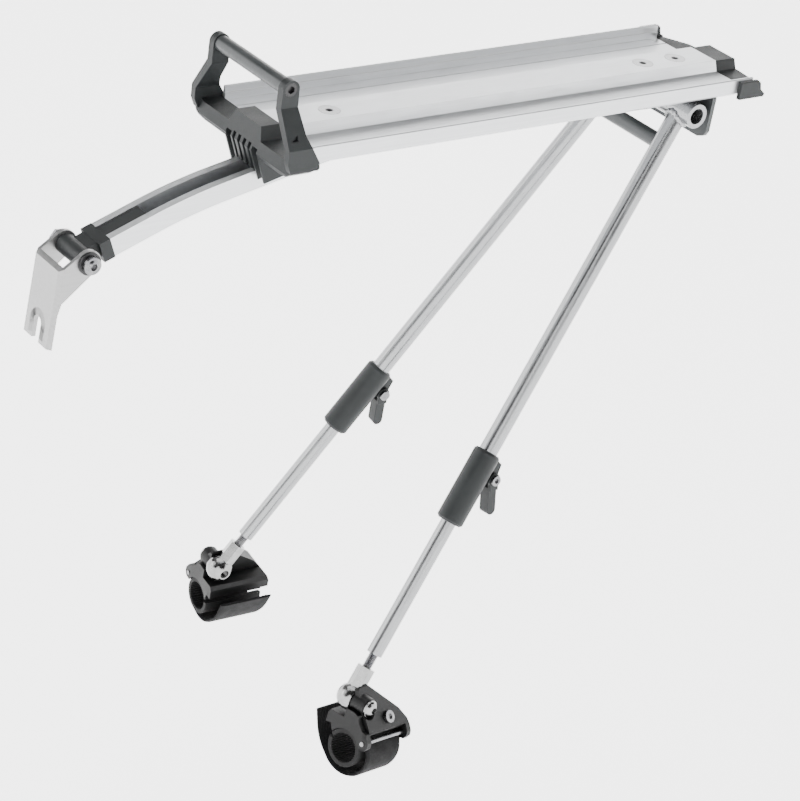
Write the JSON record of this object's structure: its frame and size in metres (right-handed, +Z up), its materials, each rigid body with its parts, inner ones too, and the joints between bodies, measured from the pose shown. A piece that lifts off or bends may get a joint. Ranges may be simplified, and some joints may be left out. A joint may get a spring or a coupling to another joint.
{
  "type": "bicycle rear rack",
  "caption": "Slim bicycle rear rack: raised-platform alloy deck, front bail, curved arm with slotted bracket, and two telescopic legs ending in strap-on seatstay clamps.",
  "frame": {"origin": "centre line of the raised platform's top face, near the middle of the deck", "axes": "+X to the rear of the bicycle, +Y to its right side, +Z up"},
  "size_m": [0.4862, 0.2176, 0.457],
  "materials": {
    "brushed_deck": "fine brushed, satin anodised",
    "tube_alloy": "polished satin tube",
    "bracket_alloy": "rolled plate, satin",
    "grey_plastic": "fine moulded texture",
    "grey_insert": "ribbed matte strip",
    "grey_tube": "satin grey powder coat",
    "grey_plate": "satin grey powder coat",
    "bright_steel": "zinc plated, bright",
    "black_steel": "black oxide",
    "rod_chrome": "chrome plated",
    "black_plastic": "moulded, slightly glossy",
    "black_rubber": "matte rubber",
    "black_webbing": "knitted webbing"
  },
  "bodies": {
    "rack": {"deck": "brushed_deck", "platform_screws": "bright_steel", "front_cap": "grey_plastic", "crossbar": "grey_tube", "crossbar_screws": "black_steel", "rear_cap": "grey_plastic", "front_arm": "brushed_deck", "arm_insert": "grey_insert", "end_block": "grey_plastic", "rear_plate": "grey_plate", "leg_tube": "tube_alloy", "cross_tube": "grey_tube", "upper_leg_left": "tube_alloy", "upper_leg_right": "tube_alloy", "sleeve_left": "grey_plastic", "sleeve_right": "grey_plastic", "lever_screws": "bright_steel"},
    "bracket": {"bracket": "bracket_alloy", "bracket_bolt": "bright_steel", "bracket_nut": "bright_steel", "bracket_washers": "black_steel"},
    "lever_left": {"lever_left": "grey_plastic"},
    "leg_left": {"lower_leg_left": "tube_alloy", "stud_left": "bright_steel"},
    "rod_left": {"rod_end_left": "rod_chrome"},
    "clamp_left": {"stay_clamp_left": "black_plastic", "liner_left": "black_rubber", "strap_left": "black_webbing", "jaw_pin_left": "bright_steel", "strap_screw_left": "bright_steel", "eye_bolt_left": "rod_chrome"},
    "lever_right": {"lever_right": "grey_plastic"},
    "leg_right": {"lower_leg_right": "tube_alloy", "stud_right": "bright_steel"},
    "rod_right": {"rod_end_right": "rod_chrome"},
    "clamp_right": {"stay_clamp_right": "black_plastic", "liner_right": "black_rubber", "strap_right": "black_webbing", "jaw_pin_right": "bright_steel", "strap_screw_right": "bright_steel", "eye_bolt_right": "rod_chrome"}
  },
  "joints": [
    {"name": "bracket_tilt", "type": "hinge", "parent": "rack", "child": "bracket", "pos_m": [-0.283, 0, -0.0629], "axis": [0, 1, 0], "range_deg": [-40, 70]},
    {"name": "lever_left", "type": "hinge", "parent": "rack", "child": "lever_left", "pos_m": [-0.01042, -0.06013, -0.23817], "axis": [0.0655, -0.9933, 0.0955], "range_deg": [-30, 58]},
    {"name": "leg_slide_left", "type": "slide", "parent": "rack", "child": "leg_left", "axis": [-0.5619, -0.1158, -0.8191], "range_m": [-0.08, 0.05]},
    {"name": "rod_turn_left", "type": "hinge", "parent": "leg_left", "child": "rod_left", "pos_m": [-0.1111, -0.0787, -0.3623], "axis": [-0.5619, -0.1158, -0.8191], "range_deg": [-40, 40]},
    {"name": "clamp_pivot_left", "type": "hinge", "parent": "rod_left", "child": "clamp_left", "pos_m": [-0.1111, -0.0787, -0.3623], "axis": [0.2355, -0.9716, -0.0242], "range_deg": [-75, 40]},
    {"name": "lever_right", "type": "hinge", "parent": "rack", "child": "lever_right", "pos_m": [-0.01042, 0.06013, -0.23817], "axis": [-0.0655, -0.9933, -0.0955], "range_deg": [-30, 58]},
    {"name": "leg_slide_right", "type": "slide", "parent": "rack", "child": "leg_right", "axis": [-0.5619, 0.1158, -0.8191], "range_m": [-0.08, 0.05]},
    {"name": "rod_turn_right", "type": "hinge", "parent": "leg_right", "child": "rod_right", "pos_m": [-0.10998, 0.07847, -0.36067], "axis": [0.5619, -0.1158, 0.8191], "range_deg": [-40, 40]},
    {"name": "clamp_pivot_right", "type": "hinge", "parent": "rod_right", "child": "clamp_right", "pos_m": [-0.10998, 0.07847, -0.36067], "axis": [-0.0655, -0.9933, -0.0955], "range_deg": [-75, 40]}
  ]
}
